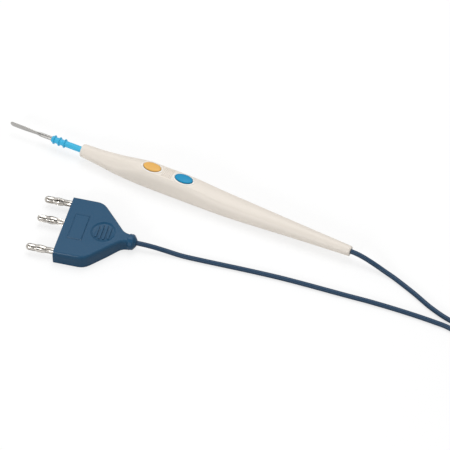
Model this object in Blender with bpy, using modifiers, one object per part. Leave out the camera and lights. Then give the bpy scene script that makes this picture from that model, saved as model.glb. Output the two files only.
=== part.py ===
"""Hand-switched electrosurgical pencil: two-shell handpiece, removable blade electrode,
three-pin plug, and one cable between them whose spare length is coiled and tied.

Metres, +Z up. The handpiece lies on its flat underside with the blade towards -X. The origin is
below the middle of the handpiece with its electrode, on the surface that it lies on.
"""
import math

import bmesh
import bpy
from mathutils import Matrix, Vector

MM = 0.001

# Handpiece
BODY_LENGTH = 158.0 * MM
NOSE_RADIUS = 3.6 * MM
TAIL_RADIUS = 2.7 * MM
GRIP_HALF_WIDTH = 6.4 * MM
GRIP_CROWN = 7.5 * MM
GRIP_DEPTH = 6.0 * MM
GRIP_START = 40.0 * MM
CROWN_END = 66.0 * MM
FLAT_END = 84.0 * MM
FACET_HALF_WIDTH = 3.7 * MM
FACET_CAMBER = 0.4 * MM
FLAT_HALF_WIDTH = 2.2 * MM
WALL = 1.2 * MM
END_ROUNDING = 0.7 * MM
PARTING_GAP = 0.3 * MM
WALL_EDGE_FROM_AXIS = 0.2 * MM
NOSE_BLOCK = 6.5 * MM
TAIL_BLOCK = 2.0 * MM
RIB_THICKNESS = 1.4 * MM

# Electrode
ELECTRODE_LENGTH = 70.0 * MM
ELECTRODE_EXPOSED = 44.0 * MM
SHAFT_RADIUS = 1.18 * MM
BLADE_LENGTH = 19.0 * MM
BLADE_HALF_WIDTH = 1.65 * MM
BLADE_NECK_HALF_WIDTH = 1.2 * MM
BLADE_THICKNESS = 0.5 * MM
BLADE_TRANSITION = 3.0 * MM
HUB_EXPOSED = 18.3 * MM
HUB_SEATED = 5.5 * MM
HUB_RADIUS = 1.7 * MM
HUB_WALL = 0.38 * MM
HUB_RING_RADIUS = 2.45 * MM
HUB_RING_WIDTH = 1.0 * MM
HUB_RING_PITCH = 3.15 * MM
HUB_RING_SETBACK = 0.9 * MM
HUB_RINGS = 3

# Fits between pieces
FIT = 0.2 * MM
SEAT_GAP = 0.3 * MM

# Buttons and switch
BUTTON_SPACING = 18.7 * MM
CUT_BUTTON_FROM_NOSE = 42.3 * MM
BUTTON_HALF_LENGTH = 5.0 * MM
BUTTON_HALF_WIDTH = 2.75 * MM
BUTTON_PROUD = 0.75 * MM
BUTTON_DOME = 0.45 * MM
BUTTON_DOME_STEPS = (0.35, 0.7, 0.92)
FLANGE_LIP = 0.45 * MM
FLANGE_THICKNESS = 0.8 * MM
STEM_RADIUS = 1.4 * MM
PRESS_TRAVEL = 0.6 * MM
DOME_RADIUS = 3.0 * MM
DOME_SHEET = 0.2 * MM
BOARD_THICKNESS = 1.0 * MM
BOARD_HALF_WIDTH = 3.7 * MM
BOARD_MARGIN = 9.5 * MM
BOARD_DROP = 0.15 * MM
RIDGE_COUNT = 6
RIDGE_PITCH = 1.0 * MM
RIDGE_WIDTH = 0.45 * MM
RIDGE_HEIGHT = 0.2 * MM
RIDGE_HALF_LENGTH = 3.0 * MM

# Electrode contact
CONTACT_FROM_NOSE = 8.0 * MM
CONTACT_LENGTH = 22.0 * MM
CONTACT_WALL = 0.6 * MM
CONTACT_SLOT = 0.6 * MM
CONTACT_SLOT_LENGTH = 8.0 * MM

# Posts that join the shells
POST_RADIUS = 1.5 * MM
PEG_RADIUS = 0.75 * MM
PEG_DEPTH = 2.4 * MM
POST_PLACES = (81.0 * MM, 111.0 * MM)

# Cable and conductors
CABLE_RADIUS = 1.3 * MM
CABLE_IN_TAIL = 18.0 * MM
WIRE_RADIUS = 0.42 * MM
WIRE_SPREAD = 0.78 * MM
CLAMP_LENGTH = 4.0 * MM
CLAMP_FROM_TAIL = 15.0 * MM
CLAMP_WALL = 0.5 * MM

# Plug
PLUG_WIDTH = 40.4 * MM
PLUG_SIDE = 13.2 * MM
PLUG_CORNER = 8.0 * MM
PLUG_THICKNESS = 8.0 * MM
PLUG_ROUNDING_DEPTH = 1.4 * MM
PLUG_ROUNDING_HEIGHT = 3.1 * MM
PLUG_BOTTOM_BEVEL = 0.6 * MM
PLUG_TAPER_FROM = 26.0 * MM
PLUG_NECK_RADIUS = 3.3 * MM
PLUG_NECK_FILLET = 5.6 * MM
PLUG_SLOPE_DEG = 46.7
COLLAR_RADIUS = 4.2 * MM
COLLAR_EDGE_RADIUS = 3.85 * MM
COLLAR_LENGTH = 3.0 * MM
CONE_LENGTH = 1.4 * MM
CONE_RADIUS = 1.95 * MM
PIN_OFFSETS = (-17.6 * MM, -4.2 * MM, 16.0 * MM)
PIN_RADIUS = 1.7 * MM
PIN_EXPOSED = 15.6 * MM
PIN_NOSE_RADIUS = 1.95 * MM
PIN_NOSE_LENGTH = 2.0 * MM
PIN_NOSE_BEVEL = 0.4 * MM
PIN_ROOT_RADIUS = 1.15 * MM
PIN_CORE_RADIUS = 1.1 * MM
PIN_WAIST_FROM_TIP = 4.4 * MM
SPRING_LENGTH = 5.8 * MM
SPRING_BULGE = 2.2 * MM
SPRING_SHEET = 0.22 * MM
SPRING_SLOT = 0.8 * MM
SPRING_SLOT_LENGTH = 4.2 * MM
SPRING_CURVE = 1.5
CARRIER_DEPTH = 9.0 * MM
CARRIER_HEIGHT = 4.4 * MM
CARRIER_MARGIN = 0.85 * MM
PIN_TAIL = 2.6 * MM
LEAD_BEND = 4.5 * MM
PAD_LENGTH = 7.2 * MM
PAD_WIDTH = 16.4 * MM
PAD_FROM_FACE = 4.6 * MM
PAD_HEIGHT = 0.2 * MM
DISH_RADIUS = 6.8 * MM
DISH_DEPTH = 0.8 * MM
DISH_FLANK_RADIUS = 5.8 * MM
DISH_FLANK_DEPTH = 0.56 * MM
DISH_FLOOR_RADIUS = 3.1 * MM
DISH_FROM_FACE = 21.6 * MM
BAR_COUNT = 4
BAR_PITCH = 2.2 * MM
BAR_WIDTH = 0.9 * MM
PLUG_PLACE = (-39.8 * MM, -51.85 * MM)
PLUG_TURN_DEG = 12.4

# Coil of spare cable
COIL_RADIUS = 21.0 * MM
BUNDLE_RADIUS = 6.75 * MM
COIL_PLACE = (216.0 * MM, -19.0 * MM)
TIE_WIDTH = 5.0 * MM
TIE_SHEET = 0.5 * MM

ROUND_SEGMENTS = 16
SMALL_SEGMENTS = 12
OVAL_SEGMENTS = 26

# Places worked out from the sizes above
OVERALL_LENGTH = ELECTRODE_EXPOSED + BODY_LENGTH
NOSE_X = ELECTRODE_EXPOSED - OVERALL_LENGTH / 2
TAIL_X = NOSE_X + BODY_LENGTH
AXIS_Z = GRIP_DEPTH
BUTTON_PLACES = {
    "cut": CUT_BUTTON_FROM_NOSE,
    "coag": CUT_BUTTON_FROM_NOSE + BUTTON_SPACING,
}
BOARD_TOP = -BOARD_DROP + BOARD_THICKNESS
DOME_HEIGHT = PRESS_TRAVEL + 2 * DOME_SHEET
PLUG_AXIS_Z = COLLAR_RADIUS
TIE_RADIUS = BUNDLE_RADIUS + SEAT_GAP + FIT + TIE_SHEET
COIL_Z = TIE_RADIUS
CABLE_REST_Z = CABLE_RADIUS + 0.05 * MM
BESIDE_COIL = COIL_RADIUS + math.sqrt((BUNDLE_RADIUS + SEAT_GAP + CABLE_RADIUS) ** 2
                                      - (COIL_Z - CABLE_REST_Z) ** 2)

parts = bpy.data.collections.new("Electrosurgical pencil")
cutters = bpy.data.collections.new("Cutters")


def material(name, colour, roughness, metallic=0.0):
    """Plain surface with one colour (linear RGB), roughness and metallic value."""
    made = bpy.data.materials.new(name)
    made.use_nodes = True
    shader = made.node_tree.nodes["Principled BSDF"]
    shader.inputs["Base Color"].default_value = (*colour, 1.0)
    shader.inputs["Roughness"].default_value = roughness
    shader.inputs["Metallic"].default_value = metallic
    made.diffuse_color = (*colour, 1.0)
    return made


def add_object(name, mesh, surface, parent=None):
    """Puts one finished piece in the model's collection."""
    made = bpy.data.objects.new(name, mesh)
    mesh.materials.append(surface)
    mesh.shade_smooth()
    mesh.set_sharp_from_angle(angle=math.radians(35))
    parts.objects.link(made)
    made.parent = parent
    return made


def add_tool(name, mesh, parent=None):
    """Puts one cutter, or one shape to be joined, in the cutters' collection."""
    made = bpy.data.objects.new(name, mesh)
    cutters.objects.link(made)
    made.parent = parent
    made.hide_render = True
    made.display_type = "WIRE"
    return made


def mesh_from(name, bm):
    mesh = bpy.data.meshes.new(name)
    bm.to_mesh(mesh)
    bm.free()
    return mesh


def combine(piece, tool, operation):
    """Adds a Boolean modifier: DIFFERENCE cuts, UNION joins."""
    modifier = piece.modifiers.new(tool.name, "BOOLEAN")
    modifier.operation = operation
    modifier.solver = "EXACT"
    modifier.object = tool


def smooth_through(stations, at):
    """Value at a place on a smooth curve through (place, value) stations, without overshoot."""
    places = [place for place, value in stations]
    values = [value for place, value in stations]
    if at <= places[0]:
        return values[0]
    if at >= places[-1]:
        return values[-1]
    steps = [b - a for a, b in zip(places, places[1:])]
    slopes = [(b - a) / step for a, b, step in zip(values, values[1:], steps)]
    tangents = [slopes[0]]
    for before, after in zip(slopes, slopes[1:]):
        same_way = before * after > 0
        tangents.append(2 * before * after / (before + after) if same_way else 0.0)
    tangents.append(slopes[-1])
    index = max(i for i in range(len(steps)) if places[i] <= at)
    step = steps[index]
    t = (at - places[index]) / step
    return ((1 + 2 * t) * (1 - t) ** 2 * values[index]
            + t * (1 - t) ** 2 * step * tangents[index]
            + t * t * (3 - 2 * t) * values[index + 1]
            - t * t * (1 - t) * step * tangents[index + 1])


def is_twisted(face):
    """Whether a four-sided face's corners lie off one plane."""
    first, second, third, fourth = [vert.co for vert in face.verts]
    normal = (second - first).cross(third - first).normalized()
    return abs((fourth - first).dot(normal)) > 0.0001 * MM


def loft(name, rings):
    """Closed solid through rings of points, each with as many points as the others."""
    bm = bmesh.new()
    rows = [[bm.verts.new(point) for point in ring] for ring in rings]
    count = len(rows[0])
    for row, following in zip(rows, rows[1:]):
        for i in range(count):
            j = (i + 1) % count
            bm.faces.new((row[i], row[j], following[j], following[i]))
    bm.faces.new(list(reversed(rows[0])))
    bm.faces.new(rows[-1])
    bmesh.ops.recalc_face_normals(bm, faces=bm.faces)
    twisted = [face for face in bm.faces if len(face.verts) == 4 and is_twisted(face)]
    bmesh.ops.triangulate(bm, faces=twisted)
    return mesh_from(name, bm)


def box(name, low, high):
    """Box between two corners."""
    bm = bmesh.new()
    low, high = Vector(low), Vector(high)
    size = high - low
    matrix = Matrix.Translation((low + high) / 2) @ Matrix.Diagonal((*size, 1.0))
    bmesh.ops.create_cube(bm, size=1.0, matrix=matrix)
    return mesh_from(name, bm)


def rod(name, start, end, radius, segments=ROUND_SEGMENTS):
    """Cylinder between two points."""
    start, end = Vector(start), Vector(end)
    run = end - start
    turn = Vector((0, 0, 1)).rotation_difference(run).to_matrix().to_4x4()
    bm = bmesh.new()
    bmesh.ops.create_cone(bm, cap_ends=True, segments=segments, radius1=radius, radius2=radius,
                          depth=run.length, matrix=Matrix.Translation((start + end) / 2) @ turn)
    return mesh_from(name, bm)


def turned_mesh(name, profile, closed=False):
    """Open or closed profile of (radius, height) points, drawn down its outer side."""
    mesh = bpy.data.meshes.new(name)
    points = [(radius, 0.0, height) for radius, height in profile]
    edges = [(i, i + 1) for i in range(len(points) - 1)]
    if closed:
        edges.append((len(points) - 1, 0))
    mesh.from_pydata(points, edges, [])
    return mesh


def spin(piece, segments=ROUND_SEGMENTS):
    """Turns a profile about its own Z axis."""
    modifier = piece.modifiers.new("Turn", "SCREW")
    modifier.steps = segments
    modifier.render_steps = segments
    modifier.use_merge_vertices = True
    modifier.merge_threshold = 0.00001
    modifier.use_smooth_shade = True


def along_x(piece, x, z):
    """Lays a turned piece's axis along +X, with its height 0 at the given place."""
    piece.rotation_euler = (0, math.radians(90), 0)
    piece.location = (x, 0, z)


def tube(name, points, radius, surface):
    """Round cable or conductor through points."""
    curve = bpy.data.curves.new(name, "CURVE")
    curve.dimensions = "3D"
    curve.bevel_depth = radius
    curve.bevel_resolution = 2
    curve.use_fill_caps = True
    line = curve.splines.new("POLY")
    line.points.add(len(points) - 1)
    for place, point in zip(line.points, points):
        place.co = (*point, 1.0)
    curve.materials.append(surface)
    made = bpy.data.objects.new(name, curve)
    parts.objects.link(made)
    return made


def smooth_route(route, spacing):
    """Points about one spacing apart on a smooth curve through the route's own points."""
    route = [Vector(point) for point in route]
    ends = [route[0] * 2 - route[1]] + route + [route[-1] * 2 - route[-2]]
    points = [route[0]]
    for before, start, end, after in zip(ends, ends[1:], ends[2:], ends[3:]):
        count = max(1, round((end - start).length / spacing))
        for i in range(1, count + 1):
            t = i / count
            points.append(0.5 * (2 * start + (end - before) * t
                                 + (2 * before - 5 * start + 4 * end - after) * t * t
                                 + (3 * start - before - 3 * end + after) * t ** 3))
    return points


# Handpiece form: each curve runs from the nose through the grip to the tail
RISE_OF_WIDTH = ((0.0, 0.0), (0.25, 0.26), (0.6, 0.8), (1.0, 1.0))
RISE_OF_CROWN = ((0.0, 0.0), (0.25, 0.12), (0.55, 0.5), (0.85, 0.92), (1.05, 1.0))
RISE_OF_DEPTH = ((0.0, 0.0), (0.3, 0.42), (0.6, 0.84), (0.85, 1.0))
FALL_OF_WIDTH = ((0.0, 1.0), (0.21, 0.92), (0.5, 0.6), (1.0, 0.0))
FALL_OF_CROWN = ((0.0, 1.0), (0.13, 0.70), (0.23, 0.53), (0.5, 0.35), (1.0, 0.0))
FALL_OF_DEPTH = ((0.0, 1.0), (0.22, 0.88), (0.38, 0.68), (1.0, 0.0))
FACET_WEIGHT = ((0.06, 0.0), (0.3, 0.6), (0.55, 0.95), (0.85, 1.0))
CREASE_HEIGHT = ((0.3, 0.3), (0.55, 0.46), (0.72, 0.68), (0.9, 0.9), (1.0, 1.0))
CREASE_WIDTH = ((0.3, 1.2), (0.55, 1.2), (0.9, 1.03), (1.0, 1.0))
FACET_FADE = ((0.0, 1.0), (0.3, 0.45), (0.65, 0.0))
FLAT_RISE = ((0.1, 0.0), (0.85, 1.0))
FLAT_FADE = ((0.0, 1.0), (0.6, 0.0))


def swell(at, grip, rise, fall, fall_start):
    """Half size of the section at a distance from the nose."""
    if at <= fall_start:
        return NOSE_RADIUS + (grip - NOSE_RADIUS) * smooth_through(rise, at / GRIP_START)
    share = (at - fall_start) / (BODY_LENGTH - fall_start)
    return TAIL_RADIUS + (grip - TAIL_RADIUS) * smooth_through(fall, share)


def half_width(at):
    return swell(at, GRIP_HALF_WIDTH, RISE_OF_WIDTH, FALL_OF_WIDTH, CROWN_END)


def crown(at):
    return swell(at, GRIP_CROWN, RISE_OF_CROWN, FALL_OF_CROWN, CROWN_END)


def depth(at):
    return swell(at, GRIP_DEPTH, RISE_OF_DEPTH, FALL_OF_DEPTH, FLAT_END)


def facet_weight(at):
    """How far the top is a facet (1) or part of a round section (0)."""
    if at <= CROWN_END:
        return smooth_through(FACET_WEIGHT, at / GRIP_START)
    return smooth_through(FACET_FADE, (at - CROWN_END) / (BODY_LENGTH - CROWN_END))


def flat_weight(at):
    """How far the underside is flat (1) or round (0)."""
    if at <= FLAT_END:
        return smooth_through(FLAT_RISE, at / GRIP_START)
    return smooth_through(FLAT_FADE, (at - FLAT_END) / (BODY_LENGTH - FLAT_END))


SIDE_STEPS = 6
TOP_STEPS = 3
FINE_STEPS = 28
SIDE_POWER = 2.2
CREASE_ANGLE = math.radians(52)
LEAST_FLAT = 0.1
WIDEST_CREASE = 0.9
NOSE_SECTIONS = 9
GRIP_SECTIONS = 6
TAIL_SECTIONS = 6


def upper_quarter(at, inset):
    """Upper section's side, from the widest point to the crease, and top, as (y, z) points."""
    width = half_width(at) - inset
    height = crown(at) - inset
    weight = facet_weight(at)
    crease_y = FACET_HALF_WIDTH * smooth_through(CREASE_WIDTH, at / GRIP_START)
    crease_y = min(crease_y - inset / 2, WIDEST_CREASE * width)
    crease_z = (height - FACET_CAMBER) * smooth_through(CREASE_HEIGHT, at / GRIP_START)
    side_height = crease_z / (1 - (crease_y / width) ** SIDE_POWER) ** (1 / SIDE_POWER)
    last_angle = math.acos((crease_y / width) ** (SIDE_POWER / 2))

    def blend(y, z, angle):
        return (y * weight + width * math.cos(angle) * (1 - weight),
                z * weight + height * math.sin(angle) * (1 - weight))

    side = []
    for i in range(FINE_STEPS + 1):
        share = i / FINE_STEPS
        angle = last_angle * share
        side.append(blend(width * math.cos(angle) ** (2 / SIDE_POWER),
                          side_height * math.sin(angle) ** (2 / SIDE_POWER),
                          CREASE_ANGLE * share))
    top = []
    for i in range(1, TOP_STEPS + 1):
        share = i / TOP_STEPS
        y = crease_y * (1 - share)
        top.append(blend(y, height - (height - crease_z) * (y / crease_y) ** 2,
                         CREASE_ANGLE + (math.pi / 2 - CREASE_ANGLE) * share))
    top[-1] = (0.0, height)
    return side, top


def lower_quarter(at, inset):
    """Lower section's side, from the widest point to the flat's edge, and the flat's middle."""
    width = half_width(at) - inset
    height = depth(at) - inset
    flat = FLAT_HALF_WIDTH * (LEAST_FLAT + (1 - LEAST_FLAT) * flat_weight(at))
    side = []
    for i in range(FINE_STEPS + 1):
        angle = math.pi / 2 * i / FINE_STEPS
        side.append((flat + (width - flat) * math.cos(angle), -height * math.sin(angle)))
    return side, [(0.0, -height)]


def even_points(line, steps):
    """Line of points drawn again with even steps between its ends."""
    reach = [0.0]
    for start, end in zip(line, line[1:]):
        reach.append(reach[-1] + math.dist(start, end))
    points = [line[0]]
    index = 0
    for i in range(1, steps):
        target = reach[-1] * i / steps
        while reach[index + 1] < target:
            index += 1
        share = (target - reach[index]) / (reach[index + 1] - reach[index])
        (y, z), (next_y, next_z) = line[index], line[index + 1]
        points.append((y + (next_y - y) * share, z + (next_z - z) * share))
    return points + [line[-1]]


def half_section(at, upper, inset, from_axis):
    """Half section from one side to the other, stopping a distance above or below the axis."""
    side, top = upper_quarter(at, inset) if upper else lower_quarter(at, inset)
    way = 1 if upper else -1
    index = max(i for i, (y, z) in enumerate(side) if way * z <= from_axis)
    (y, z), (next_y, next_z) = side[index], side[index + 1]
    share = (way * from_axis - z) / (next_z - z)
    cut = [(y + (next_y - y) * share, way * from_axis)] + side[index + 1:]
    steps = SIDE_STEPS if upper else SIDE_STEPS + TOP_STEPS - 1
    quarter = even_points(cut, steps) + top
    return quarter + [(-y, z) for y, z in reversed(quarter[:-1])]


def body_places():
    """Distances from the nose of the sections that shape the shells."""
    last = BODY_LENGTH - END_ROUNDING
    places = []
    for start, end, count in ((END_ROUNDING, GRIP_START, NOSE_SECTIONS),
                              (GRIP_START, FLAT_END, GRIP_SECTIONS), (FLAT_END, last, TAIL_SECTIONS)):
        places += [start + i * (end - start) / count for i in range(count)]
    return places + [last]


def half_body(name, upper):
    """Solid half of the handpiece with rounded ends."""
    def ring(at, section_at, inset):
        section = half_section(section_at, upper, inset, PARTING_GAP / 2)
        return [(NOSE_X + at, y, AXIS_Z + z) for y, z in section]

    places = body_places()
    nose, tail = places[0], places[-1]
    slant = END_ROUNDING * (1 - math.sin(math.radians(45)))
    rings = [ring(0, nose, END_ROUNDING), ring(slant, nose, slant)]
    rings += [ring(at, at, 0) for at in places]
    rings += [ring(BODY_LENGTH - slant, tail, slant), ring(BODY_LENGTH, tail, END_ROUNDING)]
    return loft(name, rings)


def cavity(name, upper):
    """Room inside one shell, one wall smaller all round and open at the parting plane."""
    first = NOSE_BLOCK
    last = BODY_LENGTH - TAIL_BLOCK
    chosen = [at for i, at in enumerate(body_places())
              if i % 2 == 0 or GRIP_START <= at <= CROWN_END]
    places = [first] + [at for at in chosen if first + FIT < at < last - FIT] + [last]
    past_plane = -WALL if upper else WALL
    rings = []
    for at in places:
        section = half_section(at, upper, WALL, PARTING_GAP)
        (first_y, _), (last_y, _) = section[0], section[-1]
        section = [(first_y, past_plane)] + section + [(last_y, past_plane)]
        rings.append([(NOSE_X + at, y, AXIS_Z + z) for y, z in section])
    return loft(name, rings)


def cross_wall(name, upper, start, thickness, from_axis):
    """Wall across the inside of a shell, whose edge lies in the middle of the shell's wall."""
    rings = []
    for at in (start, start + thickness):
        section = half_section(at, upper, WALL / 2, from_axis)
        rings.append([(NOSE_X + at, y, AXIS_Z + z) for y, z in section])
    return add_tool(name, loft(name, rings))


def oval_ring(half_length, half_wide, x, z):
    angles = [2 * math.pi * i / OVAL_SEGMENTS for i in range(OVAL_SEGMENTS)]
    return [(x + half_length * math.cos(a), half_wide * math.sin(a), z) for a in angles]


def make_shell(name, upper, surface):
    """One half of the handpiece with its nose block, cross walls, posts and holes."""
    side = "upper" if upper else "lower"
    shell = add_object(name, half_body(name, upper), surface)
    room = add_tool(side + "_cavity", cavity(side + "_cavity", upper))
    combine(shell, room, "DIFFERENCE")
    contact_end = CONTACT_FROM_NOSE + CONTACT_LENGTH
    walls = {
        "front_contact_wall": (CONTACT_FROM_NOSE + CONTACT_SLOT_LENGTH + RIB_THICKNESS,
                               RIB_THICKNESS, WALL_EDGE_FROM_AXIS),
        "rear_contact_wall": (contact_end - 2 * RIB_THICKNESS, RIB_THICKNESS,
                              WALL_EDGE_FROM_AXIS),
        "cable_wall": (BODY_LENGTH - CLAMP_FROM_TAIL + CLAMP_LENGTH + SEAT_GAP,
                       RIB_THICKNESS, WALL_EDGE_FROM_AXIS),
    }
    cut_at, coag_at = BUTTON_PLACES["cut"], BUTTON_PLACES["coag"]
    middle = (cut_at + coag_at) / 2
    if upper:
        walls["board_hold_down"] = (middle - RIB_THICKNESS / 2, RIB_THICKNESS,
                                    BOARD_TOP + SEAT_GAP)
    else:
        board_seat = BOARD_DROP + SEAT_GAP
        for label, at in (("front", cut_at), ("middle", middle), ("rear", coag_at)):
            walls[label + "_board_seat"] = (at - RIB_THICKNESS / 2, RIB_THICKNESS, board_seat)
    for label, (start, thickness, from_axis) in walls.items():
        combine(shell, cross_wall(side + "_" + label, upper, start, thickness, from_axis), "UNION")
    for i, at in enumerate(POST_PLACES):
        add_post(shell, side, i, at, upper)
    for label, (start, end, radius) in {
        "hub_bore": (-SEAT_GAP, NOSE_BLOCK + FIT, HUB_RADIUS + FIT),
        "contact_bore": (NOSE_BLOCK, contact_end + SEAT_GAP, contact_radius() + FIT),
        "clamp_seat": (BODY_LENGTH - CLAMP_FROM_TAIL - SEAT_GAP,
                       BODY_LENGTH - CLAMP_FROM_TAIL + CLAMP_LENGTH + SEAT_GAP,
                       clamp_radius() + FIT),
        "cable_bore": (BODY_LENGTH - CLAMP_FROM_TAIL, BODY_LENGTH + SEAT_GAP, CABLE_RADIUS + FIT),
    }.items():
        cutter = rod(side + "_" + label, (NOSE_X + start, 0, AXIS_Z), (NOSE_X + end, 0, AXIS_Z),
                     radius)
        combine(shell, add_tool(side + "_" + label, cutter), "DIFFERENCE")
    if upper:
        finish_upper_shell(shell)
    else:
        channel = rod("wire_channel", (NOSE_X + contact_end - RIB_THICKNESS, 0, wire_level()),
                      (NOSE_X + coag_at + 2 * RIB_THICKNESS, 0, wire_level()),
                      WIRE_RADIUS + 2 * FIT, 12)
        combine(shell, add_tool("wire_channel", channel), "DIFFERENCE")
    return shell


def contact_radius():
    return SHAFT_RADIUS + FIT + CONTACT_WALL


def clamp_radius():
    return CABLE_RADIUS + FIT + CLAMP_WALL


def wire_level():
    """Height of the conductor that runs below the switch board."""
    return AXIS_Z - GRIP_DEPTH / 2


def add_post(shell, side, index, at, upper):
    """Peg of the upper shell, or the lower shell's post that it is pressed into."""
    x = NOSE_X + at
    if upper:
        roof = AXIS_Z + crown(at) - WALL / 2
        peg = rod(f"peg_{index}", (x, 0, AXIS_Z - PEG_DEPTH), (x, 0, roof), PEG_RADIUS, 12)
        combine(shell, add_tool(f"peg_{index}", peg), "UNION")
        return
    floor = AXIS_Z - depth(at) + WALL / 2
    rim = AXIS_Z - PARTING_GAP
    post = rod(f"post_{index}", (x, 0, floor), (x, 0, rim), POST_RADIUS, 16)
    combine(shell, add_tool(f"post_{index}", post), "UNION")
    socket = rod(f"socket_{index}", (x, 0, AXIS_Z - PEG_DEPTH - SEAT_GAP), (x, 0, AXIS_Z),
                 PEG_RADIUS + FIT, 12)
    combine(shell, add_tool(f"socket_{index}", socket), "DIFFERENCE")


def finish_upper_shell(shell):
    """Button windows, and the fine ridges between them."""
    roof = AXIS_Z + GRIP_CROWN
    for label, at in BUTTON_PLACES.items():
        rings = [oval_ring(BUTTON_HALF_LENGTH + FIT, BUTTON_HALF_WIDTH + FIT, NOSE_X + at, z)
                 for z in (roof - 2 * WALL, roof + WALL)]
        window = add_tool(label + "_window", loft(label + "_window", rings))
        combine(shell, window, "DIFFERENCE")
    middle = sum(BUTTON_PLACES.values()) / 2
    ridge_root = roof - RIDGE_HEIGHT - FACET_CAMBER
    ridge_rise = roof + RIDGE_HEIGHT - ridge_root
    for i in range(RIDGE_COUNT):
        x = NOSE_X + middle + (i - (RIDGE_COUNT - 1) / 2) * RIDGE_PITCH
        angles = [math.pi * j / 4 for j in range(5)]
        outline = [(x + RIDGE_WIDTH / 2 * math.cos(a), ridge_root + ridge_rise * math.sin(a))
                   for a in angles]
        rings = [[(px, y, z) for px, z in outline]
                 for y in (-RIDGE_HALF_LENGTH, RIDGE_HALF_LENGTH)]
        combine(shell, add_tool(f"ridge_{i}", loft(f"ridge_{i}", rings)), "UNION")


def make_button(name, at, surface):
    """Oval key with a domed top, a flange below the shell and a stem over its snap dome."""
    top = GRIP_CROWN + BUTTON_PROUD
    flange_top = GRIP_CROWN - WALL - FACET_CAMBER - SEAT_GAP
    flange_bottom = flange_top - FLANGE_THICKNESS
    stem_bottom = BOARD_TOP + SEAT_GAP + DOME_HEIGHT + SEAT_GAP
    length, width = BUTTON_HALF_LENGTH, BUTTON_HALF_WIDTH
    levels = [(STEM_RADIUS, STEM_RADIUS, stem_bottom), (STEM_RADIUS, STEM_RADIUS, flange_bottom),
              (length + FLANGE_LIP, width + FLANGE_LIP, flange_bottom),
              (length + FLANGE_LIP, width + FLANGE_LIP, flange_top),
              (length, width, flange_top), (length, width, top - BUTTON_DOME)]
    for share in BUTTON_DOME_STEPS:
        angle = math.pi / 2 * share
        levels.append((length * math.cos(angle), width * math.cos(angle),
                       top - BUTTON_DOME * (1 - math.sin(angle))))
    rings = [oval_ring(half_length, half_wide, 0.0, z) for half_length, half_wide, z in levels]
    button = add_object(name, loft(name, rings), surface)
    button.location = (NOSE_X + at, 0, AXIS_Z)
    return button


def make_dome(name, at, surface):
    """Thin metal snap dome on the switch board."""
    base = BOARD_TOP + SEAT_GAP
    steps = 3
    outer = []
    inner = []
    for i in range(steps + 1):
        angle = math.pi / 2 * i / steps
        outer.append((DOME_RADIUS * math.sin(angle), base + DOME_HEIGHT * math.cos(angle)))
        inner.append(((DOME_RADIUS - DOME_SHEET) * math.sin(angle),
                      base + (DOME_HEIGHT - DOME_SHEET) * math.cos(angle)))
    mesh = turned_mesh(name, outer + list(reversed(inner)))
    dome = add_object(name, mesh, surface)
    spin(dome, SMALL_SEGMENTS)
    dome.location = (NOSE_X + at, 0, AXIS_Z)
    return dome


def make_board(surface):
    """Printed circuit board under both keys."""
    start = NOSE_X + BUTTON_PLACES["cut"] - BOARD_MARGIN
    end = NOSE_X + BUTTON_PLACES["coag"] + BOARD_MARGIN
    mesh = box("switch_board", (start, -BOARD_HALF_WIDTH, AXIS_Z - BOARD_DROP),
               (end, BOARD_HALF_WIDTH, AXIS_Z + BOARD_TOP))
    return add_object("switch_board", mesh, surface)


def make_contact(surface):
    """Slotted tube that grips the electrode's shaft."""
    inner = SHAFT_RADIUS + FIT
    outer = contact_radius()
    chamfer = CONTACT_WALL / 2
    profile = [(outer, CONTACT_LENGTH), (outer, chamfer), (outer - chamfer, 0.0), (inner, 0.0),
               (inner, CONTACT_LENGTH)]
    contact = add_object("electrode_contact", turned_mesh("electrode_contact", profile, True),
                         surface)
    spin(contact)
    along_x(contact, NOSE_X + CONTACT_FROM_NOSE, AXIS_Z)
    start = NOSE_X + CONTACT_FROM_NOSE - SEAT_GAP
    end = NOSE_X + CONTACT_FROM_NOSE + CONTACT_SLOT_LENGTH
    slot = box("contact_slot", (start, -CONTACT_SLOT / 2, AXIS_Z - 2 * outer),
               (end, CONTACT_SLOT / 2, AXIS_Z + 2 * outer))
    combine(contact, add_tool("contact_slot", slot), "DIFFERENCE")
    return contact


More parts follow.
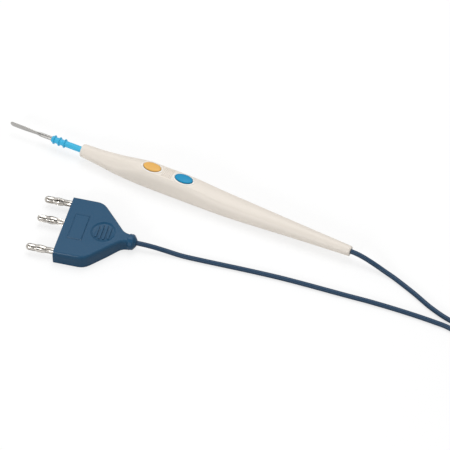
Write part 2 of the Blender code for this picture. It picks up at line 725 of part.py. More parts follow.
def make_blade(surface):
    """Flat blade with a round end, drawn into the round shaft that the contact grips."""
    segments = 14
    tip = NOSE_X - ELECTRODE_EXPOSED

    def section(x, half_height, half_thick, power):
        points = []
        for i in range(segments):
            angle = 2 * math.pi * i / segments
            y = abs(math.cos(angle)) ** (2 / power) * half_thick
            z = abs(math.sin(angle)) ** (2 / power) * half_height
            points.append((tip + x, math.copysign(y, math.cos(angle)),
                           AXIS_Z + math.copysign(z, math.sin(angle))))
        return points

    half_thick = BLADE_THICKNESS / 2
    rings = []
    for share in (0.02, 0.12, 0.3, 0.6, 1.0):
        rise = math.sqrt(1 - (1 - share) ** 2)
        thick = half_thick * (0.5 + 0.5 * share)
        rings.append(section(BLADE_HALF_WIDTH * share, BLADE_HALF_WIDTH * rise, thick, 3.0))
    flat_end = BLADE_LENGTH - BLADE_TRANSITION
    rings.append(section(BLADE_LENGTH / 2, BLADE_HALF_WIDTH, half_thick, 3.0))
    rings.append(section(flat_end, BLADE_NECK_HALF_WIDTH, half_thick, 3.0))
    for share in (0.35, 0.7, 1.0):
        ease = share * share * (3 - 2 * share)
        rings.append(section(flat_end + BLADE_TRANSITION * share,
                             BLADE_NECK_HALF_WIDTH + (SHAFT_RADIUS - BLADE_NECK_HALF_WIDTH) * ease,
                             half_thick + (SHAFT_RADIUS - half_thick) * ease, 3.0 - ease))
    chamfer = SHAFT_RADIUS / 3
    rings.append(section(ELECTRODE_LENGTH - chamfer, SHAFT_RADIUS, SHAFT_RADIUS, 2.0))
    rings.append(section(ELECTRODE_LENGTH, SHAFT_RADIUS - chamfer, SHAFT_RADIUS - chamfer, 2.0))
    return add_object("electrode_blade", loft("electrode_blade", rings), surface)


def make_hub(surface):
    """Insulating sleeve with raised finger rings, pushed into the nose."""
    length = HUB_EXPOSED + HUB_SEATED
    inner = HUB_RADIUS - HUB_WALL
    chamfer = HUB_RING_WIDTH / 4
    profile = [(inner, length), (HUB_RADIUS, length)]
    for i in reversed(range(HUB_RINGS)):
        front = HUB_RING_SETBACK + i * HUB_RING_PITCH
        back = front + HUB_RING_WIDTH
        profile += [(HUB_RADIUS, back), (HUB_RING_RADIUS, back - chamfer),
                    (HUB_RING_RADIUS, front + chamfer), (HUB_RADIUS, front)]
    profile += [(HUB_RADIUS, 0.0), (inner, 0.0)]
    hub = add_object("electrode_hub", turned_mesh("electrode_hub", profile, True), surface)
    spin(hub, SMALL_SEGMENTS + 2)
    along_x(hub, NOSE_X - HUB_EXPOSED, AXIS_Z)
    return hub


def make_clamp(surface):
    """Crimped ring that keeps the cable from being pulled out of the tail."""
    inner = CABLE_RADIUS + FIT
    outer = clamp_radius()
    profile = [(outer, CLAMP_LENGTH), (outer, 0.0), (inner, 0.0), (inner, CLAMP_LENGTH)]
    clamp = add_object("cable_clamp", turned_mesh("cable_clamp", profile, True), surface)
    spin(clamp)
    along_x(clamp, TAIL_X - CLAMP_FROM_TAIL, AXIS_Z)
    return clamp


def cable_end_places():
    """Where the three conductors leave the cable's end, across the cable, as (y, z)."""
    angles = [math.radians(90 + 120 * i) for i in range(3)]
    return [(WIRE_SPREAD * math.cos(a), WIRE_SPREAD * math.sin(a)) for a in angles]


def make_handle_wires(surfaces):
    """Conductors from the switch board and the contact to the cable."""
    top, near, far = cable_end_places()
    board_end = BUTTON_PLACES["coag"] + BOARD_MARGIN + SEAT_GAP
    cable_end = BODY_LENGTH - CABLE_IN_TAIL - SEAT_GAP
    past_posts = POST_RADIUS + 3 * FIT + WIRE_RADIUS
    half_past = -past_posts / 2
    first_post, last_post = POST_PLACES
    below = wire_level() - AXIS_Z
    behind_contact = CONTACT_FROM_NOSE + CONTACT_LENGTH + SEAT_GAP
    middle = (last_post + cable_end) / 2
    contact_edge = -(SHAFT_RADIUS + FIT + CONTACT_WALL / 2)
    routes = {
        "active_wire": [(behind_contact, 0, contact_edge), (behind_contact + 3 * MM, 0, below),
                        (board_end, 0, below), (first_post, -past_posts, below / 2),
                        (last_post, -past_posts, below / 2), (middle, half_past, -WIRE_SPREAD),
                        (cable_end, *near)],
        "cut_wire": [(board_end, WIRE_SPREAD, BOARD_TOP / 2), (first_post, past_posts, 0),
                     (last_post, past_posts, 0), (middle, -half_past, 0), (cable_end, *far)],
        "coag_wire": [(board_end, -WIRE_SPREAD, BOARD_TOP / 2),
                      (first_post, -past_posts, 2 * WIRE_SPREAD),
                      (last_post, -past_posts, 2 * WIRE_SPREAD),
                      (middle, half_past, 2 * WIRE_SPREAD), (cable_end, *top)],
    }
    for name, route in routes.items():
        points = [(NOSE_X + at, y, AXIS_Z + z) for at, y, z in route]
        tube(name, smooth_route(points, 9 * MM), WIRE_RADIUS, surfaces[name])


def plug_outline():
    """Plug seen from above, from the far front corner round to the near one, as (along, across)."""
    half = PLUG_WIDTH / 2
    slope = math.radians(PLUG_SLOPE_DEG)
    points = [(0.0, half)]
    centre = (PLUG_SIDE, half - PLUG_CORNER)
    for i in range(5):
        angle = math.pi / 2 - slope * i / 4
        points.append((centre[0] + PLUG_CORNER * math.cos(angle),
                       centre[1] + PLUG_CORNER * math.sin(angle)))
    neck_centre_y = PLUG_NECK_RADIUS + PLUG_NECK_FILLET
    last_x, last_y = points[-1]
    meet_y = neck_centre_y - PLUG_NECK_FILLET * math.cos(slope)
    meet_x = last_x + (last_y - meet_y) / math.tan(slope)
    neck_centre_x = meet_x + PLUG_NECK_FILLET * math.sin(slope)
    for i in range(4):
        angle = slope * (1 - i / 3)
        points.append((neck_centre_x - PLUG_NECK_FILLET * math.sin(angle),
                       neck_centre_y - PLUG_NECK_FILLET * math.cos(angle)))
    points.append((points[-1][0] + COLLAR_LENGTH / 2, PLUG_NECK_RADIUS))
    return points + [(x, -y) for x, y in reversed(points)]


def collar_start():
    """Distance of the collar from the pin face."""
    return max(x for x, y in plug_outline()) - COLLAR_LENGTH / 2


def plug_length():
    return collar_start() + COLLAR_LENGTH + CONE_LENGTH


def is_rim(edge, way):
    """Whether an edge runs between the plug's top (way 1) or bottom (way -1) and its side walls."""
    levels = sorted(way * face.normal.z for face in edge.link_faces)
    on_pin_face = any(face.normal.x < -0.9 for face in edge.link_faces)
    return levels[-1] > 0.9 and levels[0] < 0.1 and not on_pin_face


def make_plug_body(frame, surface):
    """Moulded plug: bevelled block, round collar, pad, thumb dish, and room for pins and wires."""
    bm = bmesh.new()
    base = [bm.verts.new((x, y, 0.0)) for x, y in plug_outline()]
    floor = bm.faces.new(base)
    roof = bmesh.ops.extrude_face_region(bm, geom=[floor])
    raised = [item for item in roof["geom"] if isinstance(item, bmesh.types.BMVert)]
    bmesh.ops.translate(bm, verts=raised, vec=(0, 0, PLUG_THICKNESS))
    bmesh.ops.recalc_face_normals(bm, faces=bm.faces)
    bmesh.ops.bisect_plane(bm, geom=bm.verts[:] + bm.edges[:] + bm.faces[:], dist=FIT / 100,
                           plane_co=(PLUG_TAPER_FROM, 0, 0), plane_no=(1, 0, 0))
    taper_run = collar_start() - PLUG_TAPER_FROM
    for vert in bm.verts:
        share = min(max(0.0, (vert.co.x - PLUG_TAPER_FROM) / taper_run), 1.0)
        neck_z = PLUG_AXIS_Z + math.copysign(PLUG_NECK_RADIUS, vert.co.z - PLUG_AXIS_Z)
        vert.co.z += (neck_z - vert.co.z) * share
    squash = PLUG_ROUNDING_DEPTH / PLUG_ROUNDING_HEIGHT
    for way, width, segments, height_factor in ((1, PLUG_ROUNDING_DEPTH, 5, squash),
                                                (-1, PLUG_BOTTOM_BEVEL, 2, 1.0)):
        bmesh.ops.scale(bm, vec=(1, 1, height_factor), verts=bm.verts)
        bm.normal_update()
        rim = [edge for edge in bm.edges if is_rim(edge, way)]
        bmesh.ops.bevel(bm, geom=rim, offset=width, segments=segments, affect="EDGES", profile=0.5)
        bmesh.ops.scale(bm, vec=(1, 1, 1 / height_factor), verts=bm.verts)
    body = add_object("plug_body", mesh_from("plug_body", bm), surface, frame)

    start = collar_start()
    end = plug_length()
    rounding = COLLAR_LENGTH / 5
    collar_profile = [(0.0, end), (CONE_RADIUS, end), (COLLAR_EDGE_RADIUS, start + COLLAR_LENGTH),
                      (COLLAR_RADIUS, start + COLLAR_LENGTH - rounding),
                      (COLLAR_RADIUS, start + rounding), (COLLAR_EDGE_RADIUS, start),
                      (0.0, start)]
    collar = add_tool("plug_collar", turned_mesh("plug_collar", collar_profile), frame)
    spin(collar)
    along_x(collar, 0, PLUG_AXIS_Z)
    combine(body, collar, "UNION")

    pad = box("plug_pad", (PAD_FROM_FACE, -PAD_WIDTH / 2, PLUG_THICKNESS - PAD_HEIGHT),
              (PAD_FROM_FACE + PAD_LENGTH, PAD_WIDTH / 2, PLUG_THICKNESS + PAD_HEIGHT))
    combine(body, add_tool("plug_pad", pad, frame), "UNION")
    lens = [(0.0, PLUG_THICKNESS + DISH_DEPTH), (DISH_RADIUS, PLUG_THICKNESS + DISH_DEPTH),
            (DISH_RADIUS, PLUG_THICKNESS), (DISH_FLANK_RADIUS, PLUG_THICKNESS - DISH_FLANK_DEPTH),
            (DISH_FLOOR_RADIUS, PLUG_THICKNESS - DISH_DEPTH), (0.0, PLUG_THICKNESS - DISH_DEPTH)]
    dish = add_tool("thumb_dish", turned_mesh("thumb_dish", lens), frame)
    spin(dish, OVAL_SEGMENTS)
    dish.location = (DISH_FROM_FACE, 0, 0)
    combine(body, dish, "DIFFERENCE")
    for i in range(BAR_COUNT):
        offset = (i - (BAR_COUNT - 1) / 2) * BAR_PITCH
        reach = math.sqrt(DISH_FLANK_RADIUS ** 2 - offset ** 2) - BAR_WIDTH
        bar = box(f"thumb_bar_{i}", (DISH_FROM_FACE + offset - BAR_WIDTH / 2, -reach,
                                     PLUG_THICKNESS - 2 * DISH_DEPTH),
                  (DISH_FROM_FACE + offset + BAR_WIDTH / 2, reach, PLUG_THICKNESS - DISH_DEPTH / 4))
        combine(body, add_tool(f"thumb_bar_{i}", bar, frame), "UNION")
    cut_plug_inside(body, frame)
    return body


def carrier_half_width():
    return PLUG_WIDTH / 2 - CARRIER_MARGIN


def cable_end_in_plug():
    return collar_start() - 2 * CONE_LENGTH


def cut_plug_inside(body, frame):
    """Seat of the pin carrier, the room behind it for the conductors, and the cable's bore."""
    half_height = CARRIER_HEIGHT / 2 + FIT
    half_wide = carrier_half_width() + FIT
    seat_end = CARRIER_DEPTH + FIT
    seat = box("carrier_seat", (-SEAT_GAP, -half_wide, PLUG_AXIS_Z - half_height),
               (seat_end, half_wide, PLUG_AXIS_Z + half_height))
    combine(body, add_tool("carrier_seat", seat, frame), "DIFFERENCE")
    narrow = CABLE_RADIUS + 2 * FIT
    rings = []
    for x, across, high in ((seat_end - FIT / 2, half_wide - FIT, half_height - FIT),
                            (seat_end + PIN_TAIL + LEAD_BEND, half_wide - FIT, half_height - FIT),
                            (cable_end_in_plug() - SEAT_GAP, narrow, narrow)):
        rings.append([(x, across, PLUG_AXIS_Z + high), (x, -across, PLUG_AXIS_Z + high),
                      (x, -across, PLUG_AXIS_Z - high), (x, across, PLUG_AXIS_Z - high)])
    room = add_tool("conductor_room", loft("conductor_room", rings), frame)
    combine(body, room, "DIFFERENCE")
    bore = rod("plug_cable_bore", (cable_end_in_plug() - 2 * SEAT_GAP, 0, PLUG_AXIS_Z),
               (plug_length() + SEAT_GAP, 0, PLUG_AXIS_Z), CABLE_RADIUS + FIT)
    combine(body, add_tool("plug_cable_bore", bore, frame), "DIFFERENCE")


def make_carrier(frame, surface):
    """Stiff bar that holds the three pins in the moulded plug."""
    mesh = box("pin_carrier", (0, -carrier_half_width(), PLUG_AXIS_Z - CARRIER_HEIGHT / 2),
               (CARRIER_DEPTH, carrier_half_width(), PLUG_AXIS_Z + CARRIER_HEIGHT / 2))
    carrier = add_object("pin_carrier", mesh, surface, frame)
    for i, offset in enumerate(PIN_OFFSETS):
        bore = rod(f"pin_bore_{i}", (-SEAT_GAP, -offset, PLUG_AXIS_Z),
                   (CARRIER_DEPTH + SEAT_GAP, -offset, PLUG_AXIS_Z), PIN_ROOT_RADIUS + FIT)
        combine(carrier, add_tool(f"pin_bore_{i}", bore, frame), "DIFFERENCE")
    return carrier


def make_pins(frame, pin_surface, spring_surface):
    """Three plug pins, each with a slotted barrel spring between its nose and its shank."""
    waist = -PIN_EXPOSED + PIN_WAIST_FROM_TIP
    shoulder = waist + SPRING_LENGTH + 2 * FIT
    tail = CARRIER_DEPTH + PIN_TAIL
    nose_steps = 3
    flange = PIN_ROOT_RADIUS + 2 * FIT
    behind = CARRIER_DEPTH + FIT
    profile = [(0.0, tail), (PIN_CORE_RADIUS, tail), (PIN_CORE_RADIUS, behind + PIN_TAIL / 2),
               (flange, behind + PIN_TAIL / 2), (flange, behind), (PIN_ROOT_RADIUS, behind),
               (PIN_ROOT_RADIUS, -FIT / 2), (PIN_RADIUS, -FIT / 2), (PIN_RADIUS, shoulder + FIT),
               (PIN_RADIUS - FIT, shoulder), (PIN_CORE_RADIUS, shoulder), (PIN_CORE_RADIUS, waist),
               (PIN_NOSE_RADIUS - PIN_NOSE_BEVEL, waist), (PIN_NOSE_RADIUS, waist - PIN_NOSE_BEVEL)]
    for i in range(nose_steps + 1):
        angle = math.pi / 2 * i / nose_steps
        profile.append((PIN_NOSE_RADIUS * math.cos(angle),
                        -PIN_EXPOSED + PIN_NOSE_LENGTH * (1 - math.sin(angle))))
    spring_end = PIN_CORE_RADIUS + FIT + SPRING_SHEET
    bulge = []
    spring_steps = 4
    for i in range(spring_steps + 1):
        share = i / spring_steps
        rise = math.sin(math.pi * share) ** SPRING_CURVE
        bulge.append((spring_end + (SPRING_BULGE - spring_end) * rise,
                      waist + FIT + SPRING_LENGTH * (1 - share)))
    spring_profile = bulge + [(r - SPRING_SHEET, h) for r, h in reversed(bulge)]
    slot_reach = SPRING_SLOT_LENGTH / 2
    for i, offset in enumerate(PIN_OFFSETS):
        number = i + 1
        pin = add_object(f"plug_pin_{number}", turned_mesh("plug_pin", profile), pin_surface, frame)
        spin(pin, SMALL_SEGMENTS)
        along_x(pin, 0, PLUG_AXIS_Z)
        pin.location.y = -offset
        spring = add_object(f"pin_spring_{number}",
                            turned_mesh("pin_spring", spring_profile, True), spring_surface, frame)
        spin(spring, SMALL_SEGMENTS)
        along_x(spring, 0, PLUG_AXIS_Z)
        spring.location.y = -offset
        centre = waist + FIT + SPRING_LENGTH / 2
        for turn in (0, 1):
            across = (SPRING_SLOT / 2, SPRING_BULGE + FIT)
            half_y, half_z = across if turn else reversed(across)
            slot = box("spring_slot", (centre - slot_reach, -half_y, -half_z),
                       (centre + slot_reach, half_y, half_z))
            tool = add_tool(f"spring_slot_{number}_{turn}", slot, frame)
            tool.location = (0, -offset, PLUG_AXIS_Z)
            tool.rotation_euler = (math.radians(45), 0, 0)
            combine(spring, tool, "DIFFERENCE")


def plug_point(along, across, z):
    """World point from a place in the plug, with across positive towards the near side."""
    turn = math.radians(PLUG_TURN_DEG)
    x, y = along, -across
    return (PLUG_PLACE[0] + x * math.cos(turn) - y * math.sin(turn),
            PLUG_PLACE[1] + x * math.sin(turn) + y * math.cos(turn), z)


def make_plug_wires(surfaces):
    """Conductors from the cable's end to the pins."""
    start = CARRIER_DEPTH + PIN_TAIL + SEAT_GAP
    end = cable_end_in_plug() - SEAT_GAP
    places = (-WIRE_SPREAD, 0.0, WIRE_SPREAD)
    names = ("active_lead", "cut_lead", "coag_lead")
    for name, offset, place in zip(names, PIN_OFFSETS, places):
        height = PLUG_AXIS_Z if place else PLUG_AXIS_Z + WIRE_SPREAD
        middle = (start + end) / 2
        route = [plug_point(start, offset, PLUG_AXIS_Z),
                 plug_point(start + LEAD_BEND / 2, offset, PLUG_AXIS_Z),
                 plug_point(middle, (offset + place) / 2, PLUG_AXIS_Z),
                 plug_point(end, place, height)]
        tube(name, smooth_route(route, 3 * MM), WIRE_RADIUS, surfaces[name])


def beside_coil(angle_deg):
    """Point on the surface where the cable lies against the foot of the coil."""
    angle = math.radians(angle_deg)
    return (COIL_PLACE[0] + BESIDE_COIL * math.cos(angle),
            COIL_PLACE[1] + BESIDE_COIL * math.sin(angle), CABLE_REST_Z)


def on_surface(*places):
    """Points of a cable that lies on the surface, from (x, y) places in millimetres."""
    return [(x * MM, y * MM, CABLE_REST_Z) for x, y in places]


def handle_cable_route():
    """From inside the tail, down to the surface and along it to the far side of the coil."""
    return [(TAIL_X - CABLE_IN_TAIL, 0, AXIS_Z), (TAIL_X, 0, AXIS_Z),
            (107.5 * MM, -0.15 * MM, 5.4 * MM), (114.6 * MM, -0.7 * MM, 3.8 * MM),
            (121.0 * MM, -1.5 * MM, 2.2 * MM),
            *on_surface((128.0, -3.0), (140.3, -7.5), (152.2, -12.4), (163.8, -15.5),
                        (174.0, -15.6), (184.5, -9.5), (193.5, -0.8)),
            beside_coil(120), beside_coil(105), beside_coil(90)]


def plug_cable_route():
    """From the near side of the coil, along the surface and up into the plug's collar."""
    return [beside_coil(-90), beside_coil(-105), beside_coil(-120),
            *on_surface((193.5, -37.5), (185.0, -29.5), (176.0, -22.8), (165.9, -20.3),
                        (157.2, -20.1), (142.5, -20.8), (124.5, -22.4), (107.5, -24.6),
                        (85.1, -27.4), (70.9, -29.5), (54.9, -32.4), (44.1, -34.5),
                        (32.3, -36.8), (22.5, -38.5)),
            (14.0 * MM, -39.9 * MM, 2.3 * MM), (6.5 * MM, -41.5 * MM, 3.5 * MM),
            plug_point(plug_length(), 0, PLUG_AXIS_Z),
            plug_point(cable_end_in_plug(), 0, PLUG_AXIS_Z)]


def make_coil(coil_surface, tie_surface):
    """Outer form of the wound cable, and the strap that holds it."""
    segments = 12
    profile = [(COIL_RADIUS + BUNDLE_RADIUS * math.cos(2 * math.pi * i / segments),
                -BUNDLE_RADIUS * math.sin(2 * math.pi * i / segments)) for i in range(segments)]
    coil = add_object("cable_coil", turned_mesh("cable_coil", profile, True), coil_surface)
    spin(coil, 24)
    coil.location = (*COIL_PLACE, COIL_Z)
    inner = TIE_RADIUS - TIE_SHEET
    half = TIE_WIDTH / 2
    strap = [(TIE_RADIUS, half), (TIE_RADIUS, -half), (inner, -half), (inner, half)]
    tie = add_object("coil_tie", turned_mesh("coil_tie", strap, True), tie_surface)
    spin(tie)
    tie.location = (COIL_PLACE[0] + COIL_RADIUS, COIL_PLACE[1], COIL_Z)
    tie.rotation_euler = (math.radians(90), 0, 0)


def build():
    for leftover in list(bpy.data.objects):
        bpy.data.objects.remove(leftover)
    bpy.context.scene.collection.children.link(parts)
    bpy.context.scene.collection.children.link(cutters)
    ivory = material("ivory_plastic", (0.80, 0.74, 0.66), 0.42)
    amber = material("amber_plastic", (0.80, 0.42, 0.08), 0.35)
    azure = material("azure_plastic", (0.03, 0.30, 0.58), 0.35)
    hub_blue = material("hub_blue_plastic", (0.02, 0.38, 0.70), 0.35)
    steel = material("blade_steel", (0.46, 0.45, 0.43), 0.32, 1.0)
    nickel = material("pin_nickel", (0.62, 0.60, 0.57), 0.2, 1.0)
    brass = material("contact_brass", (0.72, 0.52, 0.20), 0.3, 1.0)
    board_green = material("board_green", (0.03, 0.20, 0.08), 0.5)
    plug_blue = material("plug_blue_vinyl", (0.035, 0.085, 0.165), 0.45)
    cable_blue = material("cable_blue_vinyl", (0.03, 0.065, 0.12), 0.45)
    black = material("black_vinyl", (0.02, 0.02, 0.02), 0.5)
    white = material("white_vinyl", (0.75, 0.75, 0.72), 0.5)
    yellow = material("yellow_vinyl", (0.75, 0.50, 0.05), 0.5)

    make_shell("upper_shell", True, ivory)
    make_shell("lower_shell", False, ivory)
    make_button("cut_button", BUTTON_PLACES["cut"], amber)
    make_button("coag_button", BUTTON_PLACES["coag"], azure)
    make_dome("cut_dome", BUTTON_PLACES["cut"], nickel)
    make_dome("coag_dome", BUTTON_PLACES["coag"], nickel)
    make_board(board_green)
    make_contact(brass)
    make_blade(steel)
    make_hub(hub_blue)
    make_clamp(brass)
    make_handle_wires({"active_wire": white, "cut_wire": yellow, "coag_wire": azure})

    plug_frame = bpy.data.objects.new("plug_frame", None)
    plug_frame.location = (*PLUG_PLACE, 0)
    plug_frame.rotation_euler = (0, 0, math.radians(PLUG_TURN_DEG))
    bpy.context.scene.collection.objects.link(plug_frame)
    make_plug_body(plug_frame, plug_blue)
    make_carrier(plug_frame, black)
    make_pins(plug_frame, nickel, nickel)
    make_plug_wires({"active_lead": white, "cut_lead": yellow, "coag_lead": azure})

    tube("cable_to_handle", smooth_route(handle_cable_route(), 5 * MM), CABLE_RADIUS, cable_blue)
    tube("cable_to_plug", smooth_route(plug_cable_route(), 5.5 * MM), CABLE_RADIUS, cable_blue)
    make_coil(cable_blue, black)


build()
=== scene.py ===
"""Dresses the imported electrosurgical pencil: cable, pins, fine details, materials, light and camera."""

import math

import bmesh
import bpy
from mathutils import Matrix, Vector
from mathutils.bvhtree import BVHTree

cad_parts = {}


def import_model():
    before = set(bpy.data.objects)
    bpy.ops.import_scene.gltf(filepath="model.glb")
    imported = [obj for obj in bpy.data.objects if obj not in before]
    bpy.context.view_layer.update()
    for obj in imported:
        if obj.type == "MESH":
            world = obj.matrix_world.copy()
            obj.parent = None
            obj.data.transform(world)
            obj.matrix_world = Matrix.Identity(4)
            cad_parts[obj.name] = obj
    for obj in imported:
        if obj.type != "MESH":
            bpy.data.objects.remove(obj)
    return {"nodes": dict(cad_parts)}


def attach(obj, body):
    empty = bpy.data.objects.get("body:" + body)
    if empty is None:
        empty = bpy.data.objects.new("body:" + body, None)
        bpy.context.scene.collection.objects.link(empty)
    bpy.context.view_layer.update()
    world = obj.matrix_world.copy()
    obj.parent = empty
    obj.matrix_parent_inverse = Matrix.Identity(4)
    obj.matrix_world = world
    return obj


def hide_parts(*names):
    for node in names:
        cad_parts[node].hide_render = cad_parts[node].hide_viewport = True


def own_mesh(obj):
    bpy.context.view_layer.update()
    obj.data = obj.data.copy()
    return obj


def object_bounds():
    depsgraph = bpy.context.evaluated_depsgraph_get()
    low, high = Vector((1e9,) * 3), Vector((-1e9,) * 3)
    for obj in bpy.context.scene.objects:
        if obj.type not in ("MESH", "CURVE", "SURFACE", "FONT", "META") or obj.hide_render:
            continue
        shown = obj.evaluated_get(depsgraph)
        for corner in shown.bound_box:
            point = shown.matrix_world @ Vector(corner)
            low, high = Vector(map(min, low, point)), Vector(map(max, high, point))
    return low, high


MM = 0.001
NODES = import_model()["nodes"]
CAD_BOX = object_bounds()
ABOVE_ALL_Z = CAD_BOX[1][2] + MM
DOWN = Vector((0, 0, -1))

# Camera, at the photograph's angle
CAMERA_AZIMUTH_DEG = 26.7
CAMERA_ELEVATION_DEG = 49.0
CAMERA_TARGET = Vector((34.8, -13.12, 6.0)) * MM
CAMERA_DISTANCE = 1.4
IMAGE_PIXELS = 450
PIXELS_PER_MM = 1.92
SENSOR_WIDTH_MM = 36
LENS_MM = SENSOR_WIDTH_MM * CAMERA_DISTANCE / (IMAGE_PIXELS / PIXELS_PER_MM * MM)

# Cable, from the handpiece's tail to the plug
CABLE_DIAMETER = 2.6 * MM
CABLE_REST_Z = 1.35 * MM
CABLE_STEP = 2 * MM
CABLE_BEVEL_STEPS = 4
AXIS_Z = 6 * MM
TAIL_X = 101 * MM
NOSE_X = -57 * MM
CABLE_IN_TAIL = 18 * MM
PLUG_PLACE = Vector((-39.8, -51.85)) * MM
PLUG_TURN_DEG = 12.4
PLUG_AXIS_Z = 4.2 * MM
PLUG_LENGTH = 39.4 * MM
CABLE_END_IN_PLUG = 32.2 * MM

# Seam between the shells
SEAM_GAP = 0.29 * MM
SEAM_DEPTH = 0.05 * MM
SEAM_WIDTH = 1.0 * MM
SEAM_STEP = 2 * MM
SEAM_END = 0.1 * MM
SEAM_RAY_START = 20 * MM

# Keys along the handpiece, and their rims' profile: (share of the way out, millimetres up from the facet)
KEY_PLACES = {"cut": -14.7 * MM, "coag": 4.0 * MM}
RIM_INNER = Vector((5.31, 3.06)) * MM
RIM_OUTER = Vector((6.15, 3.75)) * MM
RIM_PROFILE = ((0.0, -0.2), (0.0, 0.2), (0.25, 0.34), (0.7, 0.34), (1.0, 0.16), (1.0, -0.2))
RIM_STATIONS = 72

# Slotted pins in the plug's own frame: (along, radius, depth of slots) in millimetres, from root to nose
PIN_OFFSETS = (-17.6 * MM, -4.2 * MM, 16.0 * MM)
PIN_TURNS_DEG = (66, 42, 56)
PIN_SEGMENTS = 96
PIN_SLOT_COUNT = 6
PIN_SLOT_HALF_DEG = 6.5
PIN_PROFILE = (
    (11.6, 1.1, 0), (10.6, 1.1, 0), (10.6, 1.7, 0), (9.35, 1.7, 0), (9.35, 1.15, 0), (-0.15, 1.15, 0),
    (-0.15, 1.66, 0), (-0.5, 1.66, 0), (-0.9, 1.66, 0.3), (-4.6, 1.66, 0.3), (-4.85, 1.5, 0.2),
    (-4.85, 1.1, 0), (-10.5, 1.1, 0), (-10.5, 1.7, 0.25), (-10.8, 1.86, 0.3), (-13.7, 1.86, 0.3))
PIN_NOSE_STEPS = 8
PIN_NOSE_START = -13.7 * MM
PIN_NOSE_RADIUS = 1.86 * MM
PIN_NOSE_LENGTH = 1.9 * MM
PIN_NOSE_SLOT = 0.3 * MM

# Frame round the plug's pad: (outward from the pad's edge, up from the pad's top) in millimetres
PAD_MIDDLE = 8.2 * MM
PAD_HALF = Vector((3.6, 8.2)) * MM
PAD_FRAME_PROFILE = ((-0.22, -0.1), (-0.22, 0.0), (-0.06, 0.13), (0.08, 0.13), (0.3, -0.12), (0.3, -0.3))

# Lantern springs on the pins
SPRING_TURNS_DEG = (18, -22, 4)
SPRING_START = -10.45 * MM
SPRING_END = -4.9 * MM
SPRING_RADIUS = 1.74 * MM
SPRING_BULGE = 2.12 * MM
SPRING_BULGE_POWER = 1.5
SPRING_SHEET = 0.24 * MM
SPRING_COLLAR = 0.13
SPRING_TWIST_DEG = 40
RIB_COUNT = 4
RIB_SHARE_AT_ENDS = 0.96
RIB_SHARE_MIDWAY = 0.56
RIB_STATIONS = 24
RIB_SPANS = 8

# Coil
COIL_PLACE = Vector((216, -19)) * MM
COIL_RADIUS = 21 * MM
COIL_Z = 7.75 * MM
BESIDE_COIL = 26.36 * MM
OUTER_STRANDS = 13
INNER_STRANDS = 6
STRAND_PITCH = 2.62 * MM
COIL_STEPS = 36
JOINING_SHARE = 0.4
MOVE_MARGIN = 0.05

# Plastics: colour, roughness, specular level, share of the colour that upright faces keep as painted shade
# on their walls
PLASTICS = {
    "ivory_plastic": ((0.77, 0.708, 0.634), 0.42, 0.4, 0.965),
    "rim_plastic": ((0.86, 0.83, 0.78), 0.35, 0.4, 1.0),
    "amber_plastic": ((0.77, 0.43, 0.105), 0.36, 0.25, 0.72),
    "azure_plastic": ((0.010, 0.27, 0.50), 0.36, 0.2, 0.72),
    "hub_plastic": ((0.05, 0.455, 0.71), 0.36, 0.25, 1.0),
    "plug_vinyl": ((0.017, 0.076, 0.153), 0.25, 0.16, 0.64),
    "cable_vinyl": ((0.020, 0.054, 0.106), 0.36, 0.2, 0.7),
    "carrier_plastic": ((0.02, 0.02, 0.02), 0.5, 0.4, 1.0),
    "tie_vinyl": ((0.02, 0.02, 0.02), 0.5, 0.4, 1.0),
    "board_laminate": ((0.03, 0.20, 0.08), 0.45, 0.4, 1.0),
    "white_wire": ((0.75, 0.75, 0.72), 0.45, 0.4, 1.0),
    "yellow_wire": ((0.75, 0.50, 0.05), 0.45, 0.4, 1.0),
    "blue_wire": ((0.03, 0.30, 0.58), 0.45, 0.4, 1.0),
}
CLOUDS_PER_MM = 0.07
CLOUD_CONTRAST = 0.03
PLASTIC_GRAIN = 0.25 * MM
PLASTIC_GRAIN_HEIGHT = 0.004 * MM
PLASTIC_ROUGHNESS_SPREAD = 0.05
# Painted shade on plastics: full on faces whose world normal rises no more than the first height, none past
# the second
UPRIGHT_NORMAL_Z = 0.1
LEVEL_NORMAL_Z = 0.9

# Metals: colour, roughness, stretch of the marks along each axis
METALS = {
    "blade_steel": ((0.42, 0.41, 0.395), 0.32, (0.08, 1, 1)),
    "pin_metal": ((0.58, 0.55, 0.51), 0.26, (1, 1, 1)),
    "contact_brass": ((0.72, 0.52, 0.20), 0.3, (1, 1, 1)),
}
METAL_MARK = 0.3 * MM
METAL_MARK_HEIGHT = 0.002 * MM
METAL_TINT_SPREAD = 0.08
METAL_ROUGHNESS_SPREAD = 0.25

# CAD nodes that keep their own meshes, by the look that they get
DRESSED = {
    "ivory_plastic": ("upper_shell", "lower_shell"),
    "amber_plastic": ("cut_button",),
    "azure_plastic": ("coag_button",),
    "hub_plastic": ("electrode_hub",),
    "blade_steel": ("electrode_blade",),
    "contact_brass": ("electrode_contact", "cable_clamp"),
    "board_laminate": ("switch_board",),
    "plug_vinyl": ("plug_body",),
    "carrier_plastic": ("pin_carrier",),
    "tie_vinyl": ("coil_tie",),
    "white_wire": ("active_wire", "active_lead"),
    "yellow_wire": ("cut_wire", "cut_lead"),
    "blue_wire": ("coag_wire", "coag_lead"),
}
SMOOTH_DEG = 35

# World: plain level of light, and what gloss sees dimly, round one way and near the horizon
WORLD_LEVEL = 0.6
DIM_LEVEL = 0.12
DIM_WAY = Vector((0.05, -0.34, 0.94)).normalized()
DIM_WAY_COSINES = (0.66, 0.94)
HORIZON_HEIGHTS = (0.05, 0.35)

# Lamps: place, width, watts
LAMP_AIM = Vector((0.03, 0, 0))
LAMPS = {"far_lamp": ((-0.15, 0.4, 1.2), 0.8, 6.6), "near_lamp": ((-0.17, -1.0, 0.45), 0.24, 3.2)}

